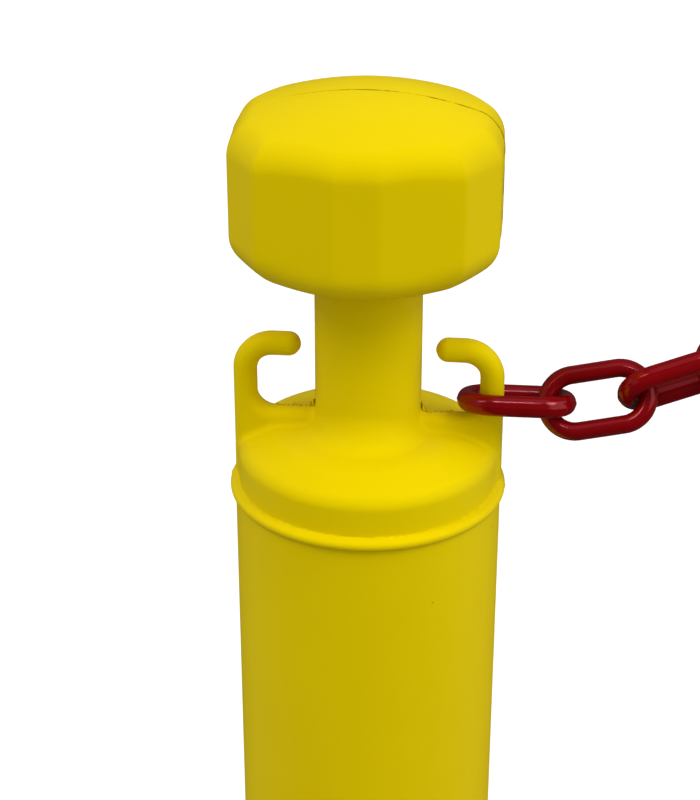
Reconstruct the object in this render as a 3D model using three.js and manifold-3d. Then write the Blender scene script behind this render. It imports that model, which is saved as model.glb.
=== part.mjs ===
// Chain-barrier bollard: a hollow blow-moulded post with a mushroom head and two
// chain hooks, a slip-over rubber base, and the end of a plastic chain hung on
// the right-hand hook.
//
// Frame: millimetres, +Z up, origin at the middle of the post's foot, X through
// both hooks (the mould's parting plane is y = 0), the chain leaves towards +X.

import * as THREE from "three";
import { mergeVertices } from "three/addons/utils/BufferGeometryUtils.js";
import Module from "manifold-3d";

const wasm = await Module();
wasm.setup();

// ---- driving dimensions ------------------------------------------------------

const TOTAL_HEIGHT = 1100;
const WALL = 3;

const TUBE_R = 50;
const RING_R = 52;                     // crest of the ring bead at the top of the tube
const RING_HALF_HEIGHT = 3.25;
const RING_TO_TOP = 151.5;             // ring bead's middle to the crown
const RING_Z = TOTAL_HEIGHT - RING_TO_TOP;

// Shoulder and neck, heights counted from the ring bead's middle
const SHOULDER_R = 48.6;
const SHOULDER_WALL_TOP = 11.8;
const SHOULDER_EDGE_R = 4.9;
const SHOULDER_SLOPE = THREE.MathUtils.degToRad(25.9);
const NECK_R = 19.9;
const NECK_FILLET_R = 10;

// Head, heights counted from the ring bead's middle
const HEAD_BOTTOM = 84;
const HEAD_SIDE_BOTTOM = 100.5;
const HEAD_SIDE_TOP = 127.5;
const HEAD_TOP_EDGE = 144;
const HEAD_R = 48.5;
const HEAD_UNDERSIDE_R = 23.5;         // flat ring under the head, round the neck
const HEAD_CROWN_R = 39;               // where the top edge's rounding meets the crown
const HEAD_FACET_SHARPNESS = 26;       // exponent of the soft polygon: higher is crisper
const HEAD_FACETS = [                  // one quarter of the twelve-sided outline
  { angle: 0, distance: 48.3 },
  { angle: 33.3, distance: 49.0 },
  { angle: 69.3, distance: 43.3 },
  { angle: 90, distance: 43.3 },
];

// Hooks and the webs they stand on, in the parting plane
const HOOK_OUTER_X = 50.1;
const HOOK_WIDTH = 8.5;
const HOOK_DEPTH = 9.8;
const HOOK_EDGE_ROUND = 3.4;
const HOOK_BEND_R = 10.5;              // centre line of the bend at the top
const HOOK_ARM_Z = 53.9;               // middle of the arm, from the ring bead
const HOOK_TIP_X = 25.1;
const WEB_TOP = 28;                    // the web's cut edge, from the ring bead
const THROAT_CORNER_R = 7;

// Foot flange, which the base rests on
const FOOT_R = 76;
const FOOT_EDGE_HEIGHT = 10;
const FOOT_CHAMFER = 1.5;
const FOOT_FILLET_R = 8;
const FOOT_VENT_R = 5;
const FOOT_VENT_X = -28;

// Rubber base
const BASE_R = 200;
const BASE_RIM_HEIGHT = 24;
const BASE_HEIGHT = 62;
const BASE_HUB_R = 92;
const BASE_BORE_R = 54;                // the hooks and the ring bead pass through
const BASE_GAP = 0.5;                  // to the foot flange, over and round it
const BASE_RECESS_R = 78;              // room for the foot flange
const BASE_EDGE_R = 7;
const BASE_CHAMFER = 3;
const BASE_CONE_TOP_R = 106;           // where the cone turns up into the hub
const BASE_CONE_TOP_HEIGHT = 53;
const GRIP_LENGTH = 96;
const GRIP_WIDTH = 30;
const GRIP_Y = 146;

// Chain of stadium-shaped links, nominal 8 mm thick
const LINK_LENGTH = 44;
const LINK_WIDTH = 27.4;
const LINK_WIRE_WIDTH = 6.8;           // in the link's own plane
const LINK_WIRE_THICKNESS = 8;         // square to it
const LINK_POSES = [                   // centres count from the ring bead's middle
  { centre: [55.0, 0.6, 33.95], yaw: 2.5, pitch: -1, roll: -14.5 },
  { centre: [84.6, 0.4, 35.9], yaw: 1, pitch: 12, roll: 60 },
  { centre: [112.7, 3.4, 43.85], yaw: 9.5, pitch: 17.5, roll: -50 },
  { centre: [140.85, 8.65, 52.65], yaw: 10, pitch: 17, roll: 40 },
];

// Facets round a full turn, and steps in a quarter-turn arc
const OUTSIDE = { turns: 48, arcSteps: 3 };
const INSIDE = { turns: 32, arcSteps: 2 };
const deg = THREE.MathUtils.degToRad;

// ---- finishes ----------------------------------------------------------------

const yellowPlastic = () => new THREE.MeshStandardMaterial({
  name: "yellow_plastic", color: 0xe0c400, roughness: 0.45, metalness: 0,
});
const blackRubber = () => new THREE.MeshStandardMaterial({
  name: "black_rubber", color: 0x1b1b1c, roughness: 0.9, metalness: 0,
});
const redPlastic = () => new THREE.MeshStandardMaterial({
  name: "red_plastic", color: 0x8e0a14, roughness: 0.28, metalness: 0,
});

// ---- solids ------------------------------------------------------------------

function toSolid(geometry) {
  const bare = geometry.index ? geometry.toNonIndexed() : geometry.clone();
  bare.deleteAttribute("normal");
  bare.deleteAttribute("uv");
  const merged = mergeVertices(bare, 1e-4);
  return new wasm.Manifold(new wasm.Mesh({
    numProp: 3,
    vertProperties: new Float32Array(merged.attributes.position.array),
    triVerts: new Uint32Array(merged.index.array),
  }));
}

function toGeometry(solid) {
  const mesh = solid.getMesh();
  const geometry = new THREE.BufferGeometry();
  geometry.setAttribute("position", new THREE.BufferAttribute(mesh.vertProperties, 3));
  geometry.setIndex(new THREE.BufferAttribute(mesh.triVerts, 1));
  geometry.computeVertexNormals();
  return geometry;
}

// Turns a path of (radius, height) round Z. The path runs from its low end on
// the axis to its high end, or closes on itself, with the solid on its left.
function revolve(path, fineness) {
  const geometry = new THREE.LatheGeometry(path.getPoints(fineness.arcSteps), fineness.turns);
  return geometry.rotateX(Math.PI / 2);
}

// Extrudes a shape drawn in the XZ plane by depth along Y, middle on y = 0.
function plate(shape, depth, edgeRound = 0) {
  const geometry = new THREE.ExtrudeGeometry(shape, {
    depth: depth - 2 * edgeRound,
    bevelEnabled: edgeRound > 0,
    bevelThickness: edgeRound,
    bevelSize: edgeRound,
    bevelOffset: -edgeRound,
    bevelSegments: 2,
    curveSegments: 5,
  });
  geometry.translate(0, 0, -depth / 2 + edgeRound);
  return geometry.rotateX(Math.PI / 2);
}

// ---- post --------------------------------------------------------------------

// Outside of the foot, tube, ring bead, shoulder and neck. With an inset it is
// the hollow inside them.
function postPath(inset) {
  const floor = inset;
  const footR = FOOT_R - inset;
  const footTop = FOOT_EDGE_HEIGHT - inset;
  const tubeR = TUBE_R - inset;
  const footFilletR = FOOT_FILLET_R + inset;
  const edgeR = SHOULDER_EDGE_R - inset / 2;
  const wallR = SHOULDER_R - inset;
  const neckR = NECK_R - inset;
  const neckFilletR = NECK_FILLET_R + inset;
  const coneNormal = Math.PI / 2 - SHOULDER_SLOPE;

  const path = new THREE.Path();
  path.moveTo(0, floor);
  path.lineTo(footR - FOOT_CHAMFER, floor);
  path.lineTo(footR, floor + FOOT_CHAMFER);
  path.lineTo(footR, footTop - FOOT_CHAMFER);
  path.lineTo(footR - FOOT_CHAMFER, footTop);
  path.absarc(tubeR + footFilletR, footTop + footFilletR, footFilletR,
    -Math.PI / 2, Math.PI, true);

  if (inset === 0) {
    const rise = RING_R - TUBE_R;
    const beadR = (RING_HALF_HEIGHT ** 2 + rise ** 2) / (2 * rise);
    const half = Math.asin(RING_HALF_HEIGHT / beadR);
    path.absarc(RING_R - beadR, RING_Z, beadR, -half, half, false);
  }
  const wallTop = RING_Z + SHOULDER_WALL_TOP;
  path.lineTo(wallR, RING_Z + RING_HALF_HEIGHT + 0.3);
  path.absarc(wallR - edgeR, wallTop, edgeR, 0, coneNormal, false);

  // The fillet's middle lies NECK_FILLET_R outside both the neck and the cone.
  const coneStart = new THREE.Vector2(
    wallR - edgeR + edgeR * Math.cos(coneNormal),
    wallTop + edgeR * Math.sin(coneNormal),
  );
  const filletX = neckR + neckFilletR;
  const along = (coneStart.x + neckFilletR * Math.cos(coneNormal) - filletX)
    / Math.cos(SHOULDER_SLOPE);
  const filletZ = coneStart.y + along * Math.sin(SHOULDER_SLOPE)
    + neckFilletR * Math.sin(coneNormal);
  path.absarc(filletX, filletZ, neckFilletR, coneNormal + Math.PI, Math.PI, true);

  const neckEnd = RING_Z + HEAD_BOTTOM + 2 * WALL;   // ends inside the head
  path.lineTo(neckR, neckEnd);
  path.lineTo(0, neckEnd);
  return path;
}

// Distance from the axis to the twelve-sided outline, its corners softened.
function headOutline(angle) {
  let sum = 0;
  for (const facet of HEAD_FACETS) {
    const mirrored = new Set([facet.angle, 180 - facet.angle, -facet.angle, facet.angle - 180]);
    for (const direction of mirrored) {
      if (direction === -180 || Object.is(direction, -0)) continue;
      const reach = Math.cos(angle - deg(direction)) / facet.distance;
      if (reach > 0) sum += reach ** HEAD_FACET_SHARPNESS;
    }
  }
  return sum ** (-1 / HEAD_FACET_SHARPNESS);
}

function headSolid(inset, fineness) {
  const bottom = RING_Z + HEAD_BOTTOM + inset;
  const sideBottom = RING_Z + HEAD_SIDE_BOTTOM;
  const sideTop = RING_Z + HEAD_SIDE_TOP;
  const topEdge = RING_Z + HEAD_TOP_EDGE - inset;
  const top = TOTAL_HEIGHT - inset;
  const sideR = HEAD_R - inset;

  const path = new THREE.Path();
  path.moveTo(0, bottom);
  path.lineTo(HEAD_UNDERSIDE_R, bottom);
  path.absellipse(HEAD_UNDERSIDE_R, sideBottom, sideR - HEAD_UNDERSIDE_R,
    sideBottom - bottom, -Math.PI / 2, 0, false);
  path.absellipse(HEAD_CROWN_R, sideTop, sideR - HEAD_CROWN_R,
    topEdge - sideTop, 0, Math.PI / 2, false);
  path.bezierCurveTo(HEAD_CROWN_R * 0.78, top - 1.2, HEAD_CROWN_R * 0.4, top, 0, top);

  const geometry = revolve(path, fineness);
  const position = geometry.attributes.position;
  for (let i = 0; i < position.count; i += 1) {
    const x = position.getX(i);
    const y = position.getY(i);
    const r = Math.hypot(x, y);
    const blend = THREE.MathUtils.smoothstep(r, NECK_R, HEAD_R);
    const scale = 1 + blend * (headOutline(Math.atan2(y, x)) / HEAD_R - 1);
    position.setXY(i, x * scale, y * scale);
  }
  return toSolid(geometry);
}

// A hook with the web under it, as one flat outline in the parting plane. Side
// is +1 for the right-hand hook and -1 for the left.
function hookSolid(side) {
  const innerX = HOOK_OUTER_X - HOOK_WIDTH;
  const bendX = HOOK_OUTER_X - HOOK_WIDTH / 2 - HOOK_BEND_R;
  const bendZ = HOOK_ARM_Z - HOOK_BEND_R;
  const half = HOOK_WIDTH / 2;
  const rootX = NECK_R - WALL / 2;

  const shape = new THREE.Shape();
  shape.moveTo(rootX, 0);
  shape.lineTo(HOOK_OUTER_X, 0);
  shape.absarc(bendX, bendZ, HOOK_BEND_R + half, 0, Math.PI / 2, false);
  shape.absarc(HOOK_TIP_X + half, HOOK_ARM_Z, half, Math.PI / 2, Math.PI * 1.5, false);
  shape.absarc(bendX, bendZ, HOOK_BEND_R - half, Math.PI / 2, 0, true);
  shape.absarc(innerX - THROAT_CORNER_R, WEB_TOP + THROAT_CORNER_R, THROAT_CORNER_R,
    0, -Math.PI / 2, true);
  shape.lineTo(rootX, WEB_TOP);
  shape.closePath();

  const geometry = plate(shape, HOOK_DEPTH, HOOK_EDGE_ROUND);
  geometry.translate(0, 0, RING_Z);
  if (side < 0) geometry.rotateZ(Math.PI);
  return toSolid(geometry);
}

// A straight round plug along Z, used to cut the vent.
function roundCutter(x, y, radius, low, high) {
  const geometry = new THREE.CylinderGeometry(radius, radius, high - low, 24);
  geometry.rotateX(Math.PI / 2);
  geometry.translate(x, y, (low + high) / 2);
  return toSolid(geometry);
}

function postGeometry() {
  const outside = toSolid(revolve(postPath(0), OUTSIDE))
    .add(headSolid(0, OUTSIDE))
    .add(hookSolid(1))
    .add(hookSolid(-1));
  const inside = toSolid(revolve(postPath(WALL), INSIDE)).add(headSolid(WALL, INSIDE));
  const vent = roundCutter(FOOT_VENT_X, 0, FOOT_VENT_R, -1, 2 * WALL);
  return toGeometry(outside.subtract(inside).subtract(vent));
}

// ---- rubber base -------------------------------------------------------------

function basePath() {
  const recessTop = FOOT_EDGE_HEIGHT + BASE_GAP;
  const filletRoom = FOOT_FILLET_R + 1;
  const path = new THREE.Path();
  path.moveTo(BASE_RECESS_R, 0);
  path.lineTo(BASE_R - BASE_CHAMFER, 0);
  path.lineTo(BASE_R, BASE_CHAMFER);
  path.absarc(BASE_R - BASE_EDGE_R, BASE_RIM_HEIGHT - BASE_EDGE_R, BASE_EDGE_R,
    0, Math.PI / 2.4, false);
  path.lineTo(BASE_CONE_TOP_R, BASE_CONE_TOP_HEIGHT);
  path.quadraticCurveTo(BASE_HUB_R, BASE_CONE_TOP_HEIGHT + BASE_CHAMFER,
    BASE_HUB_R, BASE_HEIGHT - BASE_CHAMFER);
  path.lineTo(BASE_HUB_R - BASE_CHAMFER, BASE_HEIGHT);
  path.lineTo(BASE_BORE_R + BASE_CHAMFER, BASE_HEIGHT);
  path.lineTo(BASE_BORE_R, BASE_HEIGHT - BASE_CHAMFER);
  path.lineTo(BASE_BORE_R, recessTop + filletRoom);
  path.lineTo(BASE_BORE_R + filletRoom, recessTop);
  path.lineTo(BASE_RECESS_R, recessTop);
  path.lineTo(BASE_RECESS_R, 0);
  return path;
}

// A hand slot right through the base, on one side of the hub.
function gripCutter(side) {
  const r = GRIP_WIDTH / 2;
  const half = GRIP_LENGTH / 2 - r;
  const slot = new THREE.Shape();
  slot.absarc(half, 0, r, -Math.PI / 2, Math.PI / 2, false);
  slot.absarc(-half, 0, r, Math.PI / 2, Math.PI * 1.5, false);
  slot.closePath();
  const geometry = new THREE.ExtrudeGeometry(slot, {
    depth: BASE_HEIGHT + 2, bevelEnabled: false, curveSegments: 10,
  });
  geometry.translate(0, side * GRIP_Y, -1);
  return toSolid(geometry);
}

function baseGeometry() {
  return toGeometry(toSolid(revolve(basePath(), OUTSIDE))
    .subtract(gripCutter(1))
    .subtract(gripCutter(-1)));
}

// ---- chain -------------------------------------------------------------------

// A ring of oval section, pulled apart at x = 0 so that its two halves become
// the bows and the gap between them the straight sides. It lies in the XY plane.
function linkGeometry() {
  const bowR = (LINK_WIDTH - LINK_WIRE_WIDTH) / 2;
  const stretch = (LINK_LENGTH - LINK_WIDTH) / 2;
  const turns = 34;
  const section = new THREE.Path();
  section.absellipse(bowR, 0, LINK_WIRE_WIDTH / 2, LINK_WIRE_THICKNESS / 2,
    0, 2 * Math.PI, false);
  const points = section.getSpacedPoints(14);
  points[points.length - 1] = points[0].clone();
  const ring = new THREE.LatheGeometry(points, turns, Math.PI / turns);
  ring.rotateX(Math.PI / 2);
  const position = ring.attributes.position;
  for (let i = 0; i < position.count; i += 1) {
    const x = position.getX(i);
    position.setX(i, x + Math.sign(x) * stretch);
  }
  return toGeometry(toSolid(ring));
}

// ---- assembly ----------------------------------------------------------------

function named(name, geometry, material) {
  const mesh = new THREE.Mesh(geometry, material);
  mesh.name = name;
  return mesh;
}

const bollard = new THREE.Group();
bollard.add(named("post", postGeometry(), yellowPlastic()));
bollard.add(named("rubber_base", baseGeometry(), blackRubber()));

const chain = new THREE.Group();
chain.position.z = RING_Z;
LINK_POSES.forEach((pose, index) => {
  const link = named(`chain_link_${index + 1}`, linkGeometry(), redPlastic());
  link.position.set(...pose.centre);
  link.rotation.set(deg(pose.roll), -deg(pose.pitch), deg(pose.yaw), "ZYX");
  chain.add(link);
});
bollard.add(chain);

export default bollard;
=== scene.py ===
"""Looks of the chain bollard: post, rubber base and the end of its plastic chain.

The CAD frame gives every place. Shapes are made as distance fields in
millimetres and turned into meshes in metres.
"""
import math

import bmesh
import bpy
import numpy as np
from mathutils import Matrix, Vector


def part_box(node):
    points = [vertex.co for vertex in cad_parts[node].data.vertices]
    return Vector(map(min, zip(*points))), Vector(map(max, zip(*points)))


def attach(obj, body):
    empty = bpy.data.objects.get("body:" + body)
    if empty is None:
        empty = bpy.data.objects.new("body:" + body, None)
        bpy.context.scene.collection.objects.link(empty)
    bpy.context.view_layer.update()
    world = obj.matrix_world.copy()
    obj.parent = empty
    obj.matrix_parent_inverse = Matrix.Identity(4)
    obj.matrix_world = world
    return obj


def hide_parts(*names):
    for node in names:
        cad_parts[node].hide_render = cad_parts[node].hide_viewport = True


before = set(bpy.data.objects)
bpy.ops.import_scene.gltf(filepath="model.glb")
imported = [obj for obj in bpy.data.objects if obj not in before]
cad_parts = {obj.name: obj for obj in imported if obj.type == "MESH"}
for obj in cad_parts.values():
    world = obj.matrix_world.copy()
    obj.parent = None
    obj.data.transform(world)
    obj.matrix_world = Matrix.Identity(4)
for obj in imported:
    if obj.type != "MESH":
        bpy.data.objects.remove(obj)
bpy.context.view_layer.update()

MM = 0.001
SHADE_SHARP_ANGLE = math.radians(50)

# ---- driving dimensions, millimetres -------------------------------------------
# Heights on the post's top count from the ring bead, RING above the floor.
POST_HIGH = np.array(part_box("post")[1]) / MM
BASE_HIGH = np.array(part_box("rubber_base")[1]) / MM
TOP_ABOVE_RING = 151.5
RING = POST_HIGH[2] - TOP_ABOVE_RING
WALL = 3.0                         # of the post's shell
FAR = 1e3                          # stands for a shape that isn't near

TUBE_R = 50.0
TUBE_TOP, TUBE_ROUND = 1.0, 1.0
BEAD_R, BEAD_CENTRE_R, BEAD_CENTRE_Z = 2.0, 49.95, -1.4
BEAD_FILLET_R = 0.8
SHOULDER_R = 48.6
SHOULDER_ROUND = 3.4
SHOULDER_SLOPE = math.radians(25.9)
SHOULDER_EDGE = (46.6, 16.2)       # a point (radius, height) on the cone
SHOULDER_DISH = 4.6                # the cone sinks by this beside the neck
SHOULDER_DISH_R = 38
NECK_R = 19.6
NECK_FILLET_R, NECK_FRONT_FILLET = 4.0, 6.0   # at the sides, and added in front
NECK_IN_HEAD = 5                   # the neck reaches this far up into the head

HEAD_R = 48.5
HEAD_BOTTOM, HEAD_SIDE_BOTTOM, HEAD_TOP = 86.3, 101.0, 151.4
HEAD_UNDERSIDE_R = 23.5
HEAD_FILLET_R = 2.5                # between the neck and the head
HEAD_OFFSET = -0.7                 # the head sits this far off the post's axis in x
HEAD_DROP_X, HEAD_DROP_Y = 0.0043, 0.0056   # the crown's fall over x and y squared
HEAD_TILT = 0.034                  # its even fall towards the front
HEAD_EDGE_R, HEAD_SIDE_EDGE = 6.5, 2.0      # rounding of the rim, and added at the sides
# the facets of one quarter: (direction in degrees, distance from the axis)
HEAD_FACETS = ((0.0, 47.7), (33.3, 48.3), (69.3, 43.5), (90.0, 43.5))
HEAD_SHARPNESS = 160               # of the corners between the facets
HEAD_UNDER_POWER = 2.8             # 2 makes the underside's profile an ellipse
HEAD_UNDER_OUTLINE_R = 44.5        # the outline grows round towards the neck
HEAD_UNDER_BLEND, HEAD_UNDER_BLEND_POWER = 0.9, 1.5
HEAD_UNDER_SCALE = 20              # makes the underside's value about millimetres
HEAD_CORE = 40                     # deeper inside, the side wall's value counts

HOOK_X = 45.85                     # middle of the shank
HOOK_HALF_WIDTH, HOOK_HALF_DEPTH = 4.25, 4.9
HOOK_ROUND = 4.2
HOOK_FOOT = 0                      # the shank's middle line ends at this height
HOOK_BEND_R = 10.5
HOOK_FILLET_R = 2.2                # between the web's face and the shoulder
HOOK_ARM_Z = 53.9
HOOK_TIP_X = 29.35                 # middle of the round tip
WEB_TOP = 28.0
WEB_INNER_X, WEB_OUTER_X = 12.0, 43.0
THROAT_R = 7.0

RIDGE_HEIGHT, RIDGE_HALF_WIDTH = 0.22, 0.42   # the mould line
FIN_GROWTH = 1.3                   # it stands higher on the head's right side
FIN_X, FIN_Z = (43, 47), (98, 106)

FOOT_R, FOOT_HEIGHT, FOOT_FILLET_R = POST_HIGH[0], 10.0, 8.0
FOOT_ROUND = 1.5
FOOT_FILLET_STEPS, FOOT_ROUND_STEPS = 8, 4
VENT_X, VENT_R, VENT_SIDES = -28.0, 5.0, 24
TUBE_DROPS = (40, 120, 240, 400, 560, 720, 860)   # rings below the bead
HOLLOW_SIDES = 64
HOLLOW_PROFILE = (                 # (radius, height) from the foot up into the head
    (FOOT_R - WALL, WALL), (FOOT_R - WALL, FOOT_HEIGHT - WALL),
    (TUBE_R + 6, FOOT_HEIGHT - WALL), (TUBE_R - WALL, FOOT_HEIGHT + 6),
    (TUBE_R - WALL, RING + 10), (NECK_R - WALL, RING + 27),
    (NECK_R - WALL, RING + 90), (HEAD_R - 8, RING + 104),
    (HEAD_R - 8, RING + 126), (HEAD_R - 24, RING + 142))

# grid lines for the post's top: (start, end, step)
POST_GRID_X = ((-56, 56, 0.9),)
POST_GRID_Y = ((-54, -1.8, 0.9), (-1.8, 1.8, 0.2), (1.8, 54, 0.9))
POST_GRID_Z = ((-7, -4.2, 0.7), (-4.2, 6, 0.5), (6, 62, 0.8), (62, 84, 1.1),
               (84, 154, 0.9))


# ---- distance-field helpers ------------------------------------------------------
def round_union(a, b, radius):
    """Joins two fields and fills the inside corner between them."""
    corner = np.hypot(np.maximum(radius - a, 0), np.maximum(radius - b, 0))
    return np.maximum(radius, np.minimum(a, b)) - corner


def round_cut(a, b, radius):
    """Keeps what lies inside both fields and rounds the outside corner."""
    corner = np.hypot(np.maximum(radius + a, 0), np.maximum(radius + b, 0))
    return np.minimum(-radius, np.maximum(a, b)) + corner


def smooth_step(low, high, value):
    t = np.clip((value - low) / (high - low), 0, 1)
    return t * t * (3 - 2 * t)


def spread(*stretches):
    """Grid lines: each stretch is (start, end, step), and the last end is kept."""
    lines = [np.arange(a, b - step * 0.01, step) for a, b, step in stretches]
    return np.concatenate(lines + [[stretches[-1][1]]])


def surface_net(field, xs, ys, zs):
    """Vertices and quads of the field's zero surface, one vertex to a grid cell."""
    value = field(*np.meshgrid(xs, ys, zs, indexing="ij"))
    inside = value < 0
    lines = (xs, ys, zs)
    shape = tuple(n - 1 for n in value.shape)
    total = np.zeros(shape + (3,))
    count = np.zeros(shape)
    crossings = []
    for axis in range(3):
        near = [slice(None)] * 3
        far = [slice(None)] * 3
        near[axis], far[axis] = slice(None, -1), slice(1, None)
        near, far = tuple(near), tuple(far)
        crossed = inside[near] != inside[far]
        where = np.argwhere(crossed)
        low, high = value[near][crossed], value[far][crossed]
        t = low / (low - high)
        point = np.stack([lines[k][where[:, k]] for k in range(3)], 1)
        step = lines[axis][where[:, axis] + 1] - point[:, axis]
        point[:, axis] += t * step
        crossings.append((axis, where, inside[near][crossed]))
        others = [k for k in range(3) if k != axis]
        for first in (0, -1):
            for second in (0, -1):
                cell = where.copy()
                cell[:, others[0]] += first
                cell[:, others[1]] += second
                ok = ((cell >= 0) & (cell < shape)).all(1)
                spot = tuple(cell[ok].T)
                np.add.at(total, spot, point[ok])
                np.add.at(count, spot, 1)
    used = count > 0
    number = np.full(shape, -1)
    number[used] = np.arange(used.sum())
    verts = total[used] / count[used][:, None]
    quads = []
    for axis, where, starts_inside in crossings:
        u, v = [(1, 2), (2, 0), (0, 1)][axis]
        corners = []
        for du, dv in ((-1, -1), (0, -1), (0, 0), (-1, 0)):
            cell = where.copy()
            cell[:, u] += du
            cell[:, v] += dv
            corners.append(cell)
        ok = np.all([((c >= 0) & (c < shape)).all(1) for c in corners], axis=0)
        face = np.stack([number[tuple(c[ok].T)] for c in corners], 1)
        flip = ~starts_inside[ok]
        face[flip] = face[flip][:, ::-1]
        quads.append(face)
    return verts, np.concatenate(quads), np.argwhere(used)


def settle(field, verts, steps=4, reach=0.6):
    """Moves points along the field's slope until they lie on its zero surface."""
    probe = 0.02
    for _ in range(steps):
        value = field(*verts.T)
        slope = np.stack([
            (field(*(verts + axis).T) - field(*(verts - axis).T)) / (2 * probe)
            for axis in probe * np.eye(3)], 1)
        size = np.maximum((slope ** 2).sum(1), 1e-3)
        move = -(value / size)[:, None] * slope
        length = np.linalg.norm(move, axis=1, keepdims=True)
        verts = verts + move * np.minimum(1, reach / np.maximum(length, 1e-9))
    return verts


def mesh_object(name, verts, faces, material):
    """A smooth-shaded object from millimetre points."""
    mesh = bpy.data.meshes.new(name)
    corners = [list(map(int, face)) for face in faces]
    mesh.from_pydata((np.asarray(verts) * MM).tolist(), [], corners)
    mesh.update()
    mesh.materials.append(material)
    mesh.shade_smooth()
    mesh.set_sharp_from_angle(angle=SHADE_SHARP_ANGLE)
    piece = bpy.data.objects.new(name, mesh)
    bpy.context.scene.collection.objects.link(piece)
    return piece


# ---- materials -------------------------------------------------------------------
class Nodes:
    """Shorthand for building one material's node tree."""

    def __init__(self, name):
        self.material = bpy.data.materials.new(name)
        self.material.use_nodes = True
        self.tree = self.material.node_tree
        self.shader = self.tree.nodes["Principled BSDF"]
        self.place = self.tree.nodes.new("ShaderNodeTexCoord").outputs["Object"]

    def link(self, source, target):
        self.tree.links.new(source, target)

    def node(self, kind, **inputs):
        node = self.tree.nodes.new(kind)
        for key, value in inputs.items():
            node.inputs[key.replace("_", " ")].default_value = value
        return node

    def stretch(self, x, y, z):
        """Object coordinates scaled along each axis."""
        mapping = self.node("ShaderNodeMapping", Scale=(x, y, z))
        self.link(self.place, mapping.inputs["Vector"])
        return mapping.outputs["Vector"]

    def noise(self, scale, detail=2.0, rough=0.5, place=None):
        node = self.node("ShaderNodeTexNoise", Scale=scale, Detail=detail,
                         Roughness=rough)
        self.link(place or self.place, node.inputs["Vector"])
        return node.outputs["Fac"]

    def cells(self, scale, place=None):
        node = self.node("ShaderNodeTexVoronoi", Scale=scale)
        self.link(place or self.place, node.inputs["Vector"])
        return node.outputs["Distance"]

    def ramp(self, source, *stops):
        """Maps a value to colours: each stop is (position, colour)."""
        node = self.tree.nodes.new("ShaderNodeValToRGB")
        elements = node.color_ramp.elements
        while len(elements) < len(stops):
            elements.new(0.5)
        for element, (position, colour) in zip(elements, stops):
            element.position = position
            element.color = (*colour, 1) if len(colour) == 3 else colour
        self.link(source, node.inputs["Fac"])
        return node.outputs["Color"]

    def span(self, source, low, high, start=0.0, end=1.0):
        """Maps start..end to low..high, and holds it there outside."""
        node = self.node("ShaderNodeMapRange", From_Min=start, From_Max=end,
                         To_Min=low, To_Max=high)
        self.link(source, node.inputs["Value"])
        return node.outputs["Result"]

    def times(self, first, second):
        node = self.tree.nodes.new("ShaderNodeMath")
        node.operation = "MULTIPLY"
        self.link(first, node.inputs[0])
        self.link(second, node.inputs[1])
        return node.outputs[0]

    def mix(self, factor, first, second):
        """Mixes two colours, each a socket or a tuple."""
        node = self.tree.nodes.new("ShaderNodeMix")
        node.data_type = "RGBA"
        self.link(factor, node.inputs[0])
        for socket, value in ((node.inputs[6], first), (node.inputs[7], second)):
            if isinstance(value, tuple):
                socket.default_value = (*value, 1)
            else:
                self.link(value, socket)
        return node.outputs[2]

    def bump(self, height, strength, distance, under=None):
        node = self.node("ShaderNodeBump", Strength=strength, Distance=distance)
        self.link(height, node.inputs["Height"])
        if under is not None:
            self.link(under, node.inputs["Normal"])
        return node.outputs["Normal"]


def grey(level):
    return (level, level, level)


def yellow_plastic():
    """Blow-moulded polyethylene: satin, faintly mottled, a few scuffs and pits."""
    n = Nodes("yellow_plastic")
    colour = n.ramp(n.noise(9.0, detail=3.0), (0.30, (0.700, 0.522, 0.0)),
                    (0.70, (0.738, 0.561, 0.0)))
    scratches = n.noise(55.0, detail=5.0, rough=0.65, place=n.stretch(1.0, 1.0, 7.0))
    scuffs = n.ramp(scratches, (0.70, grey(0)), (0.78, grey(0.30)))
    colour = n.mix(scuffs, colour, (0.50, 0.37, 0.01))
    pits = n.ramp(n.cells(44.0), (0.012, grey(0.7)), (0.026, grey(0)))
    colour = n.mix(pits, colour, (0.25, 0.17, 0.02))
    colour = n.mix(parting_dirt(n), colour, (0.20, 0.13, 0.0))
    n.link(colour, n.shader.inputs["Base Color"])
    n.link(n.span(n.noise(60.0, detail=4.0), 0.36, 0.50), n.shader.inputs["Roughness"])
    n.shader.inputs["IOR"].default_value = 1.5
    n.shader.inputs["Specular IOR Level"].default_value = 0.10
    n.shader.inputs["Specular Tint"].default_value = (1.0, 0.88, 0.05, 1)
    waves = n.bump(n.noise(28.0, detail=1.0), 0.10, 0.0012)
    fine = n.noise(420.0, detail=3.0)
    n.link(n.bump(fine, 0.10, 0.0002, under=waves), n.shader.inputs["Normal"])
    return n.material


DIRT_EDGE = (0.3, 0.65)            # it fades this far beside the mould line
DIRT_START = (96, 112)             # above the ring bead, where it sets in
DIRT_SIDE = (-30, 4)               # x over which it grows from faint to full


def parting_dirt(n):
    """Mask for dirt caught along the mould line over the head, most on its right."""
    parts = n.tree.nodes.new("ShaderNodeSeparateXYZ")
    n.link(n.place, parts.inputs["Vector"])
    away = n.tree.nodes.new("ShaderNodeMath")
    away.operation = "ABSOLUTE"
    n.link(parts.outputs["Y"], away.inputs[0])
    line = n.span(away.outputs[0], 1, 0, DIRT_EDGE[0] * MM, DIRT_EDGE[1] * MM)
    high = n.span(parts.outputs["Z"], 0, 1, (RING + DIRT_START[0]) * MM,
                  (RING + DIRT_START[1]) * MM)
    right = n.span(parts.outputs["X"], 0.15, 1, DIRT_SIDE[0] * MM, DIRT_SIDE[1] * MM)
    broken = n.ramp(n.noise(75.0, detail=4.0, rough=0.7), (0.38, grey(0.12)),
                    (0.52, grey(1.0)))
    return n.times(n.times(n.times(line, high), broken), right)


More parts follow.
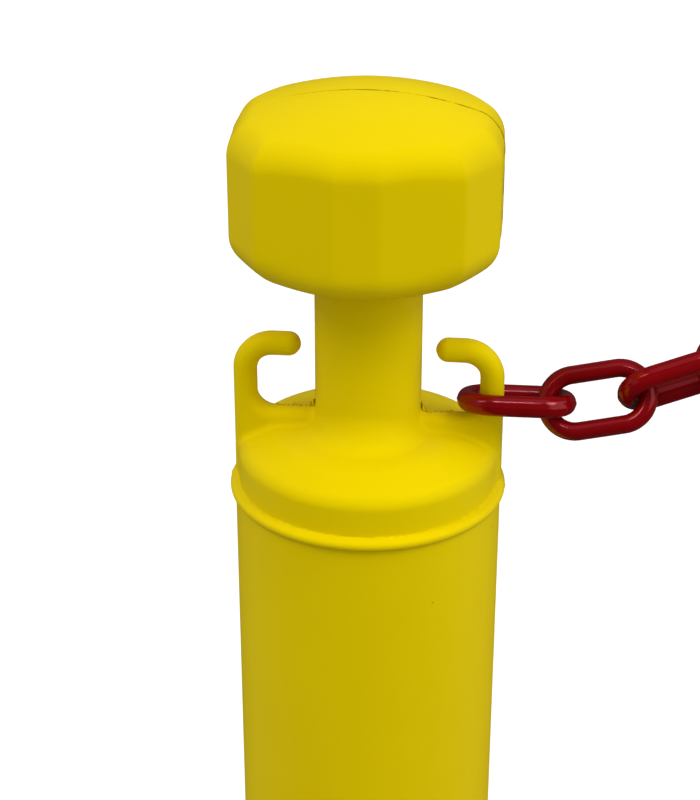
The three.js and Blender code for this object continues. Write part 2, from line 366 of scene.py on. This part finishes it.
def red_plastic():
    """Glossy injection-moulded chain plastic with flow marks."""
    n = Nodes("red_plastic")
    colour = n.ramp(n.noise(60.0, detail=3.0), (0.3, (0.170, 0.0, 0.0008)),
                    (0.7, (0.215, 0.0, 0.0014)))
    rubbed = n.ramp(n.noise(260.0, detail=4.0, rough=0.7), (0.66, grey(0)),
                    (0.76, grey(0.35)))
    colour = n.mix(rubbed, colour, (0.30, 0.02, 0.03))
    n.link(colour, n.shader.inputs["Base Color"])
    n.link(n.span(n.noise(150.0, detail=4.0), 0.10, 0.22), n.shader.inputs["Roughness"])
    n.shader.inputs["IOR"].default_value = 1.5
    n.shader.inputs["Specular IOR Level"].default_value = 0.8
    n.shader.inputs["Specular Tint"].default_value = (1.0, 0.34, 0.40, 1)
    flow = n.bump(n.noise(90.0, detail=2.0), 0.12, 0.0006)
    fine = n.noise(700.0, detail=2.0)
    n.link(n.bump(fine, 0.08, 0.0002, under=flow), n.shader.inputs["Normal"])
    return n.material


def black_rubber():
    """Recycled rubber: bonded granules, grey with dust on top."""
    n = Nodes("black_rubber")
    grains = n.cells(330.0)
    tone = n.noise(240.0, detail=4.0, rough=0.6)
    colour = n.ramp(tone, (0.30, grey(0.012)), (0.62, grey(0.024)),
                    (0.80, grey(0.055)))
    flecks = n.ramp(n.noise(520.0, detail=1.0), (0.70, grey(0)), (0.76, grey(0.6)))
    colour = n.mix(flecks, colour, (0.10, 0.095, 0.09))
    n.link(colour, n.shader.inputs["Base Color"])
    n.link(n.span(tone, 0.72, 0.95), n.shader.inputs["Roughness"])
    n.shader.inputs["Specular IOR Level"].default_value = 0.35
    n.link(n.bump(grains, 0.55, 0.0009, under=n.bump(n.noise(40.0), 0.2, 0.001)),
           n.shader.inputs["Normal"])
    return n.material


def torn_plastic():
    """The thin flash: the same plastic, torn and holding dirt."""
    n = Nodes("torn_plastic")
    dirt = n.noise(700.0, detail=4.0, rough=0.7)
    colour = n.ramp(dirt, (0.34, (0.34, 0.24, 0.005)),
                    (0.52, (0.66, 0.48, 0.0)))
    n.link(colour, n.shader.inputs["Base Color"])
    n.link(n.span(dirt, 0.5, 0.8), n.shader.inputs["Roughness"])
    n.shader.inputs["Specular IOR Level"].default_value = 0.15
    return n.material


YELLOW = yellow_plastic()
TORN = torn_plastic()
RED = red_plastic()
BLACK = black_rubber()


# ---- post ------------------------------------------------------------------------
def parting_ridge(y):
    """Height of the fine mould line round the whole post in the plane y = 0."""
    return RIDGE_HEIGHT * np.exp(-(y / RIDGE_HALF_WIDTH) ** 2)


def body_field(x, y, z):
    """Tube, ring bead, wall, cone and neck. Heights count from the ring bead."""
    r = np.hypot(x, y)
    tube = round_cut(r - TUBE_R, z - TUBE_TOP, TUBE_ROUND)
    cone = ((r - SHOULDER_EDGE[0]) * math.sin(SHOULDER_SLOPE)
            + (z - SHOULDER_EDGE[1]) * math.cos(SHOULDER_SLOPE))
    cone += SHOULDER_DISH * (1 - smooth_step(NECK_R, SHOULDER_DISH_R, r))
    shoulder = round_cut(r - SHOULDER_R, cone, SHOULDER_ROUND)
    bead = np.hypot(r - BEAD_CENTRE_R, z - BEAD_CENTRE_Z) - BEAD_R
    field = round_union(np.minimum(tube, shoulder), bead, BEAD_FILLET_R)
    neck = np.maximum(r - NECK_R, z - HEAD_BOTTOM - NECK_IN_HEAD)
    forward = np.abs(y) / np.maximum(r, 1)
    return round_union(field, neck, NECK_FILLET_R + NECK_FRONT_FILLET * forward ** 2)


def head_outline(angle):
    """Radius of the head's soft twelve-sided outline."""
    total = np.zeros_like(angle)
    for facet, distance in HEAD_FACETS:
        directions = {turn % 360 for turn in (facet, 180 - facet, -facet, facet - 180)}
        for direction in sorted(directions):
            reach = np.maximum(np.cos(angle - math.radians(direction)) / distance, 0)
            total += reach ** HEAD_SHARPNESS
    return total ** (-1 / HEAD_SHARPNESS)


def head_field(x, y, z):
    """The mushroom head: twelve soft facets between an oval underside and a crown."""
    x = x - HEAD_OFFSET
    r = np.hypot(x, y)
    angle = np.arctan2(y, x)
    outline = head_outline(angle)
    side = r - outline
    slope = 2 * HEAD_DROP_X * np.minimum(r, HEAD_R)
    sunk = HEAD_DROP_X * x ** 2 + HEAD_DROP_Y * y ** 2 - HEAD_TILT * y
    crown = (z - HEAD_TOP + sunk) / np.sqrt(1 + slope ** 2)
    edge_round = HEAD_EDGE_R + HEAD_SIDE_EDGE * np.cos(angle) ** 2
    upper = round_cut(side, crown, edge_round)
    down = np.maximum(HEAD_SIDE_BOTTOM - z, 0) / (HEAD_SIDE_BOTTOM - HEAD_BOTTOM)
    blend = HEAD_UNDER_BLEND * np.minimum(down, 1) ** HEAD_UNDER_BLEND_POWER
    rho = r * HEAD_R / (outline + blend * (HEAD_UNDER_OUTLINE_R - outline))
    out = np.maximum(rho - HEAD_UNDERSIDE_R, 0) / (HEAD_R - HEAD_UNDERSIDE_R)
    power = HEAD_UNDER_POWER
    under = ((out ** power + down ** power) ** (1 / power) - 1) * HEAD_UNDER_SCALE
    return np.maximum(upper, np.minimum(under, side + HEAD_CORE))


def plane_distance(x, z):
    """Distance in the parting plane to a hook's stroke and web, right side."""
    bend_x, bend_z = HOOK_X - HOOK_BEND_R, HOOK_ARM_Z - HOOK_BEND_R
    shank = np.hypot(x - HOOK_X, z - np.clip(z, HOOK_FOOT, bend_z))
    arm = np.hypot(x - np.clip(x, HOOK_TIP_X, bend_x), z - HOOK_ARM_Z)
    bend = np.abs(np.hypot(x - bend_x, z - bend_z) - HOOK_BEND_R)
    bend = np.where((x > bend_x) & (z > bend_z), bend, FAR)
    stroke = np.minimum(np.minimum(shank, arm), bend) - HOOK_HALF_WIDTH
    web = np.maximum(np.maximum(z - WEB_TOP, x - WEB_OUTER_X), WEB_INNER_X - x)
    return round_union(stroke, web, THROAT_R)


def hook_field(x, y, z):
    """Both hooks and their webs, with rounded edges."""
    side = np.abs(x)
    flat = plane_distance(side, z) + HOOK_ROUND
    deep = np.abs(y) - HOOK_HALF_DEPTH + HOOK_ROUND
    edge = np.hypot(np.maximum(flat, 0), np.maximum(deep, 0))
    return np.minimum(np.maximum(flat, deep), 0) + edge - HOOK_ROUND


def post_top_field(x, y, z):
    """Everything above the tube, with the mould line raised on it."""
    body = body_field(x, y, z)
    field = round_union(body, hook_field(x, y, z), HOOK_FILLET_R)
    field = round_union(field, head_field(x, y, z), HEAD_FILLET_R)
    fin = smooth_step(*FIN_X, x) * smooth_step(*FIN_Z, z)
    return field - parting_ridge(y) * (1 + FIN_GROWTH * fin)


def quarter_round(r, z, radius, start, way, steps):
    """(radius, height) of points round a quarter circle about (r, z), way +1 or -1."""
    turns = [start + way * math.pi / 2 * i / steps for i in range(steps + 1)]
    return [(r + radius * math.cos(turn), z + radius * math.sin(turn)) for turn in turns]


def tube_rings():
    """(radius, height) down the tube and round the foot flange, to its underside."""
    tube = [(TUBE_R, RING - drop) for drop in TUBE_DROPS]
    fillet = quarter_round(TUBE_R + FOOT_FILLET_R, FOOT_HEIGHT + FOOT_FILLET_R,
                           FOOT_FILLET_R, math.pi, 1, FOOT_FILLET_STEPS)
    upper, lower = [
        quarter_round(FOOT_R - FOOT_ROUND, z, FOOT_ROUND, start, -1, FOOT_ROUND_STEPS)
        for z, start in ((FOOT_HEIGHT - FOOT_ROUND, math.pi / 2), (FOOT_ROUND, 0.0))]
    return tube + fillet + upper + lower


def bottom_loop(quads, low):
    """The open rim's vertices in order, anticlockwise from above."""
    edges = set()
    for quad in quads[low[quads].sum(1) >= 2]:
        for a, b in zip(quad, np.roll(quad, -1)):
            if low[a] and low[b]:
                edges.add((a, b))
    onward = {b: a for a, b in edges if (b, a) not in edges}
    start = min(onward)
    loop, here = [start], onward[start]
    while here != start:
        loop.append(here)
        here = onward[here]
    return np.array(loop)


def add_post():
    """The top as a net of the field, then rings down the tube, then the foot."""
    xs, ys, zs = spread(*POST_GRID_X), spread(*POST_GRID_Y), spread(*POST_GRID_Z)
    verts, quads, cells = surface_net(post_top_field, xs, ys, zs)
    verts = settle(post_top_field, verts)
    rim = bottom_loop(quads, cells[:, 2] == 0)
    verts[rim, 2] = zs[0]
    verts[:, 2] += RING

    direction = verts[rim, :2] / np.hypot(*verts[rim, :2].T)[:, None]
    rings = [rim]
    points, faces = [verts], [tuple(q) for q in quads]
    start = len(verts)
    for radius, height in tube_rings():
        reach = radius + parting_ridge(direction[:, 1] * radius)
        points.append(np.c_[direction * reach[:, None], np.full(len(rim), height)])
        rings.append(np.arange(start, start + len(rim)))
        start += len(rim)
    for upper, lower in zip(rings, rings[1:]):
        after_upper, after_lower = np.roll(upper, -1), np.roll(lower, -1)
        faces += list(zip(upper, lower, after_lower, after_upper))

    post = mesh_object("post_moulding", np.concatenate(points), faces, YELLOW)
    close_foot(post)
    return post


def close_foot(post):
    """Closes the foot's underside round the vent and adds the hollow above it."""
    bm = bmesh.new()
    bm.from_mesh(post.data)
    outer = [e for e in bm.edges if e.is_boundary]
    vent_low = ring_of_edges(bm, VENT_X, VENT_R, 0.0, VENT_SIDES)
    vent_high = ring_of_edges(bm, VENT_X, VENT_R, WALL, VENT_SIDES)
    bmesh.ops.triangle_fill(bm, edges=outer + vent_low, use_beauty=True)
    bmesh.ops.bridge_loops(bm, edges=vent_low + vent_high)
    loops = [ring_of_edges(bm, 0.0, r, z, HOLLOW_SIDES) for r, z in HOLLOW_PROFILE]
    for low, high in zip(loops, loops[1:]):
        bmesh.ops.bridge_loops(bm, edges=low + high)
    bmesh.ops.triangle_fill(bm, edges=loops[0] + vent_high, use_beauty=True)
    bmesh.ops.triangle_fill(bm, edges=loops[-1], use_beauty=True)
    bmesh.ops.recalc_face_normals(bm, faces=bm.faces)
    for face in bm.faces:
        face.smooth = True
    bm.to_mesh(post.data)
    bm.free()
    post.data.set_sharp_from_angle(angle=SHADE_SHARP_ANGLE)


def ring_of_edges(bm, x, radius, z, count):
    """A round loop of edges, middle at (x, 0, z), in millimetres."""
    verts = []
    for i in range(count):
        turn = 2 * math.pi * i / count
        verts.append(bm.verts.new(((x + radius * math.cos(turn)) * MM,
                                   radius * math.sin(turn) * MM, z * MM)))
    return [bm.edges.new((verts[i], verts[(i + 1) % count])) for i in range(count)]


FLASH_SEED = 7
FLASH_START, FLASH_FADE, FLASH_END = NECK_R - 0.3, 34, 39.5   # x; it fades to its end
FLASH_STATIONS, FLASH_TEETH = 90, 34
FLASH_TEETH_X, FLASH_TEETH_SIZE = (18, 40), (0.1, 1.0)
FLASH_LEAST, FLASH_MOST = 0.3, 1.3            # its height, and what the teeth add
FLASH_CORNER_RISE, FLASH_CORNER_REACH = 3.0, 2.0   # it climbs the neck
FLASH_SUNK = 0.5                              # hidden in the web
FLASH_HALF_ROOT, FLASH_HALF_TIP = 0.35, 0.08  # half thickness
FLASH_DRIFT, FLASH_CURL, FLASH_CURL_TURN = 0.05, 0.25, 0.9


def add_flash(side):
    """Ragged skin of plastic left by the mould along the top of one web."""
    rng = np.random.default_rng(FLASH_SEED + side)
    count = FLASH_STATIONS
    along = np.linspace(FLASH_START, FLASH_END, count)
    ragged = np.interp(along, np.linspace(*FLASH_TEETH_X, FLASH_TEETH),
                       rng.uniform(*FLASH_TEETH_SIZE, FLASH_TEETH))
    fade = 1 - smooth_step(FLASH_FADE, FLASH_END, along)
    rise = FLASH_LEAST + FLASH_MOST * ragged ** 2 * fade
    rise += FLASH_CORNER_RISE * np.exp(-((along - NECK_R) / FLASH_CORNER_REACH) ** 2)
    lean = np.cumsum(rng.normal(0, FLASH_DRIFT, count))
    lean -= np.linspace(lean[0], lean[-1], count)
    low, high = RING + WEB_TOP - FLASH_SUNK, RING + WEB_TOP + rise
    verts, faces = [], []
    for i, x in enumerate(along):
        top = lean[i] + FLASH_CURL * rise[i] * math.sin(i * FLASH_CURL_TURN)
        verts += [(side * x, lean[i] - FLASH_HALF_ROOT, low),
                  (side * x, top - FLASH_HALF_TIP, high[i]),
                  (side * x, top + FLASH_HALF_TIP, high[i]),
                  (side * x, lean[i] + FLASH_HALF_ROOT, low)]
    for i in range(count - 1):
        a, b = 4 * i, 4 * i + 4
        faces += [(a + k, b + k, b + (k + 1) % 4, a + (k + 1) % 4) for k in range(4)]
    last = 4 * (count - 1)
    faces += [(0, 1, 2, 3), (last + 3, last + 2, last + 1, last)]
    if side > 0:
        faces = [face[::-1] for face in faces]
    name = "mould_flash_right" if side > 0 else "mould_flash_left"
    return mesh_object(name, verts, faces, TORN)


# ---- rubber base -----------------------------------------------------------------
BASE_R, BASE_HEIGHT = BASE_HIGH[0], BASE_HIGH[2]
BORE_R = 54.0
HUB_R = 92.0
RECESS_R, RECESS_HEIGHT = 78.0, 10.5
GRIP_Y, GRIP_HALF_LENGTH, GRIP_R = 146.0, 33.0, 15.0
CONE_TOP, CONE_FOOT = (106.0, 53.0), (196.0, 24.0)   # (radius, height)
RIM_ROUND, FLOOR_ROUND, HUB_ROUND = 7.0, 2.0, 3.0
BORE_ROUND, RECESS_ROUND, GRIP_ROUND = 2.5, 1.0, 3.0
HUB_OVERLAP, HUB_FILLET_R = 3, 4.0
GROOVES, GROOVE_HALF_WIDTH, GROOVE_DEPTH = 12, 2.2, 1.6
GROOVE_START_R, GROOVE_END_R, GROOVE_GRIP_GAP = 114, 182, 9
LIP_WIDTH, LIP_HEIGHT, LIP_ROUND = 6.0, 1.6, 1.5
CHAMFER_RISE = 9                   # from the recess up to the chamfer's end in the bore
CHAMFER_UP, CHAMFER_OUT = 0.66, 0.75          # the direction that the chamfer faces
BASE_GRID_ACROSS = ((-BASE_R - 2, BASE_R + 2, 2.0),)
BASE_GRID_UP = ((-1.5, 62.0, 1.5), (62.0, 64.0, 1.0))


def grip_distance(x, y):
    """Distance outside the nearer hand slot, seen from above."""
    along = x - np.clip(x, -GRIP_HALF_LENGTH, GRIP_HALF_LENGTH)
    return np.hypot(along, np.abs(y) - GRIP_Y) - GRIP_R


def base_field(x, y, z):
    """Low cone with a hub, a bore, a recess for the foot and two hand slots."""
    r = np.hypot(x, y)
    slope = math.atan2(CONE_TOP[1] - CONE_FOOT[1], CONE_FOOT[0] - CONE_TOP[0])
    cone = ((r - CONE_TOP[0]) * math.sin(slope) + (z - CONE_TOP[1]) * math.cos(slope))
    grip = grip_distance(x, y)
    turn = np.arctan2(y, x)
    half = GROOVES / 2
    groove = np.abs(np.sin(turn * half)) * r / half - GROOVE_HALF_WIDTH
    groove = np.maximum(np.maximum(groove, GROOVE_START_R - r),
                        np.maximum(r - GROOVE_END_R, GROOVE_GRIP_GAP - grip))
    cone = np.maximum(cone, -np.maximum(groove, -GROOVE_DEPTH - cone))
    body = np.maximum(round_cut(r - BASE_R, cone, RIM_ROUND), HUB_R - HUB_OVERLAP - r)
    hub = round_cut(r - HUB_R, z - BASE_HEIGHT, HUB_ROUND)
    field = round_union(body, hub, HUB_FILLET_R)
    lip = round_cut(grip - LIP_WIDTH, cone - LIP_HEIGHT, LIP_ROUND)
    field = round_cut(round_union(field, lip, LIP_ROUND), -z, FLOOR_ROUND)
    field = round_cut(field, BORE_R - r, BORE_ROUND)
    chamfer = ((RECESS_HEIGHT + CHAMFER_RISE - z) * CHAMFER_UP
               + (BORE_R - r) * CHAMFER_OUT)
    field = np.maximum(field, chamfer)
    recess = np.maximum(r - RECESS_R, z - RECESS_HEIGHT)
    field = round_cut(field, -recess, RECESS_ROUND)
    return round_cut(field, -grip, GRIP_ROUND)


def add_base():
    across, up = spread(*BASE_GRID_ACROSS), spread(*BASE_GRID_UP)
    verts, quads, _ = surface_net(base_field, across, across, up)
    verts = settle(base_field, verts, reach=1.2)
    return mesh_object("base_block", verts, quads, BLACK)


# ---- chain -----------------------------------------------------------------------
LINK_LENGTH, LINK_WIDTH = 44.0, 27.4
WIRE_WIDTH, WIRE_THICKNESS = 6.65, 7.85
SEAM_HEIGHT, SEAM_HALF_WIDTH = 0.18, 0.5
BOW_STEPS, STRAIGHT_STEPS, WIRE_SIDES = 40, 8, 72


def link_frame(node):
    """Middle and axes (long, across, square) of a CAD link, in millimetres."""
    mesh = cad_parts[node].data
    points = np.array([v.co for v in mesh.vertices]) / MM
    middle = (points.max(0) + points.min(0)) / 2
    _, axes = np.linalg.eigh(np.cov((points - middle).T))
    long, across = axes[:, 2], axes[:, 1]
    if long[0] < 0:
        long = -long
    return middle, long, across, np.cross(long, across)


def link_shape():
    """One link in its own plane: an oval bar with a fine moulding seam."""
    bow_r = (LINK_WIDTH - WIRE_WIDTH) / 2
    half = (LINK_LENGTH - LINK_WIDTH) / 2
    stations = []
    for side in (1, -1):
        for i in range(BOW_STEPS + 1):
            turn = -math.pi / 2 + math.pi * i / BOW_STEPS
            out = np.array([math.cos(turn), math.sin(turn)]) * side
            stations.append((np.array([side * half, 0]) + out * bow_r, out))
        for i in range(1, STRAIGHT_STEPS):
            along = half * side * (1 - 2 * i / STRAIGHT_STEPS)
            out = np.array([0.0, side])
            stations.append((np.array([along, side * bow_r]), out))
    turns = np.linspace(0, 2 * math.pi, WIRE_SIDES, endpoint=False)
    across = np.cos(turns) * WIRE_WIDTH / 2
    square = np.sin(turns) * WIRE_THICKNESS / 2
    across += SEAM_HEIGHT * np.exp(-(square / SEAM_HALF_WIDTH) ** 2) * (across > 0)
    verts = []
    for middle, out in stations:
        plane = middle[None, :] + across[:, None] * out[None, :]
        verts.append(np.c_[plane, square])
    n, m = len(stations), len(turns)
    faces = [(i * m + j, ((i + 1) % n) * m + j, ((i + 1) % n) * m + (j + 1) % m,
              i * m + (j + 1) % m) for i in range(n) for j in range(m)]
    return np.concatenate(verts), faces


def add_link(node):
    middle, long, across, square = link_frame(node)
    verts, faces = link_shape()
    placed = middle + verts @ np.stack([long, across, square])
    return mesh_object(f"{node}_moulding", placed, faces, RED)


# ---- studio ----------------------------------------------------------------------
CAMERA_YAW, CAMERA_PITCH = 5.5, 26.411        # degrees
CAMERA_FROM_RING = (-6.75, -652.72, 356.12)   # before the turn by its yaw
LENS, SENSOR, CLIP_END = 88.12, 36.0, 100


def add_camera():
    """Stands in front of the post, a little to the right, looking down at its top."""
    yaw = math.radians(CAMERA_YAW)
    pitch = math.radians(CAMERA_PITCH)
    distance = Vector(CAMERA_FROM_RING) * MM
    place = Matrix.Rotation(yaw, 3, "Z") @ distance + Vector((0, 0, RING * MM))
    data = bpy.data.cameras.new("camera")
    data.sensor_width = SENSOR
    data.lens = LENS
    data.clip_end = CLIP_END
    camera = bpy.data.objects.new("camera", data)
    camera.location = place
    camera.rotation_euler = (math.pi / 2 - pitch, 0, yaw)
    bpy.context.scene.collection.objects.link(camera)
    bpy.context.scene.camera = camera


FLOOR_HALF = 20000                 # half its side
FLOOR_GLOW = 0.38
SKY_HORIZON, SKY_ZENITH = 0.50, 0.62
GLOSS_SHARE = 0.12                 # of floor and sky seen in glossy reflections
LAMPS = (                          # name, strength, spread, azimuth, elevation
    ("overhead", 0.22, 50, 0, 85),
    ("left_high", 0.88, 26, -60, 50),
    ("right_high", 0.93, 26, 60, 50),
    ("front_strip", 0.18, 6, 5, 60),
    ("left_low", 0.31, 70, -80, 18),
    ("right_low", 0.98, 70, 75, 18),
)


def add_sun(name, strength, spread_angle, azimuth, elevation):
    """A soft lamp. Azimuth 0 stands before the post, 90 to its right; both in degrees."""
    data = bpy.data.lights.new(name, "SUN")
    data.energy = strength
    data.angle = math.radians(spread_angle)
    turn, lift = math.radians(azimuth), math.radians(elevation)
    direction = Vector((math.sin(turn) * math.cos(lift), -math.cos(turn) * math.cos(lift),
                        math.sin(lift)))
    light = bpy.data.objects.new(name, data)
    light.rotation_euler = direction.to_track_quat("Z", "Y").to_euler()
    bpy.context.scene.collection.objects.link(light)


def add_floor():
    """Pale floor. Only its look from the camera is white: what it throws back on the
    object is set apart, as in a studio with a dark surround."""
    n = Nodes("studio_floor")
    colour = n.ramp(n.noise(1.5, detail=2.0), (0.3, grey(0.90)), (0.7, grey(0.92)))
    n.link(colour, n.shader.inputs["Base Color"])
    n.shader.inputs["Roughness"].default_value = 0.9
    n.shader.inputs["Specular IOR Level"].default_value = 0.1
    path = n.tree.nodes.new("ShaderNodeLightPath")
    glow = n.node("ShaderNodeEmission", Color=(1, 1, 1, 1))
    dimmed = n.span(path.outputs["Is Glossy Ray"], FLOOR_GLOW, FLOOR_GLOW * GLOSS_SHARE)
    n.link(dimmed, glow.inputs["Strength"])
    chosen = n.tree.nodes.new("ShaderNodeMixShader")
    n.link(path.outputs["Is Camera Ray"], chosen.inputs[0])
    n.link(glow.outputs["Emission"], chosen.inputs[1])
    n.link(n.shader.outputs["BSDF"], chosen.inputs[2])
    n.link(chosen.outputs["Shader"], n.tree.nodes["Material Output"].inputs["Surface"])
    half = FLOOR_HALF
    corners = [(-half, -half, 0), (half, -half, 0), (half, half, 0), (-half, half, 0)]
    mesh_object("studio_floor", corners, [(0, 1, 2, 3)], n.material)


def add_sky():
    """A soft even sky, brighter overhead; the camera sees plain white."""
    world = bpy.data.worlds.new("studio")
    world.use_nodes = True
    tree = world.node_tree
    background = tree.nodes["Background"]
    background.inputs["Color"].default_value = (1, 1, 1, 1)
    direction = tree.nodes.new("ShaderNodeTexCoord").outputs["Generated"]
    parts = tree.nodes.new("ShaderNodeSeparateXYZ")
    tree.links.new(direction, parts.inputs["Vector"])
    level = tree.nodes.new("ShaderNodeMapRange")
    level.inputs["To Min"].default_value = SKY_HORIZON
    level.inputs["To Max"].default_value = SKY_ZENITH
    tree.links.new(parts.outputs["Z"], level.inputs["Value"])
    path = tree.nodes.new("ShaderNodeLightPath")
    share = tree.nodes.new("ShaderNodeMapRange")
    share.inputs["To Min"].default_value = 1
    share.inputs["To Max"].default_value = GLOSS_SHARE
    tree.links.new(path.outputs["Is Glossy Ray"], share.inputs["Value"])
    dimmed = tree.nodes.new("ShaderNodeMath")
    dimmed.operation = "MULTIPLY"
    tree.links.new(level.outputs["Result"], dimmed.inputs[0])
    tree.links.new(share.outputs["Result"], dimmed.inputs[1])
    chosen = tree.nodes.new("ShaderNodeMix")
    chosen.inputs[3].default_value = 1.0
    tree.links.new(path.outputs["Is Camera Ray"], chosen.inputs[0])
    tree.links.new(dimmed.outputs[0], chosen.inputs[2])
    tree.links.new(chosen.outputs[0], background.inputs["Strength"])
    bpy.context.scene.world = world


def add_studio():
    add_floor()
    add_sky()
    for name, strength, angle, azimuth, elevation in LAMPS:
        add_sun(name, strength, angle, azimuth, elevation)
    bpy.context.scene.view_settings.view_transform = "Standard"


# ---- assembly --------------------------------------------------------------------
add_camera()
add_studio()

post = add_post()
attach(post, "post")
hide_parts("post")

for side in (1, -1):
    flash = add_flash(side)
    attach(flash, "post")

base = add_base()
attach(base, "rubber_base")
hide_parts("rubber_base")

for node in sorted(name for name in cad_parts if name.startswith("chain_link")):
    link = add_link(node)
    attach(link, node)
    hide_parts(node)
